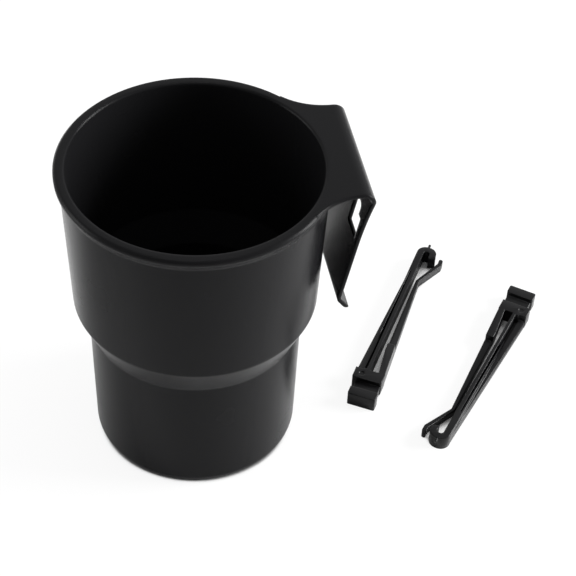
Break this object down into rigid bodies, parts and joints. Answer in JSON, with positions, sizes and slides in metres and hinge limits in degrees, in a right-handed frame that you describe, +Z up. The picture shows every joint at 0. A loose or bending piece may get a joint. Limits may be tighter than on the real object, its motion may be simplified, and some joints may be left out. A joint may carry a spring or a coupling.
{
  "type": "car cup holder",
  "caption": "Round stepped cup that tapers to its base, with a sheet hanger folded down from its rim, and loose hook-ended clips that fit its stepped slots and grip an air vent's blades.",
  "frame": {"origin": "on the cup's axis, on the flat surface that the cup and the clips stand on", "axes": "+Z is up along the cup's axis, +X points from the cup's axis to its hanger, and +Y makes the frame right-handed"},
  "size_m": [0.1745, 0.1047, 0.1112],
  "materials": {
    "cup_plastic": "satin black moulded polypropylene with a fine spark-eroded grain",
    "clip_plastic": "satin black moulded nylon with rounded edges"
  },
  "bodies": {
    "root": {"cup_with_hanger": "cup_plastic", "vent_clip_left": "clip_plastic", "vent_clip_right": "clip_plastic"}
  },
  "joints": []
}
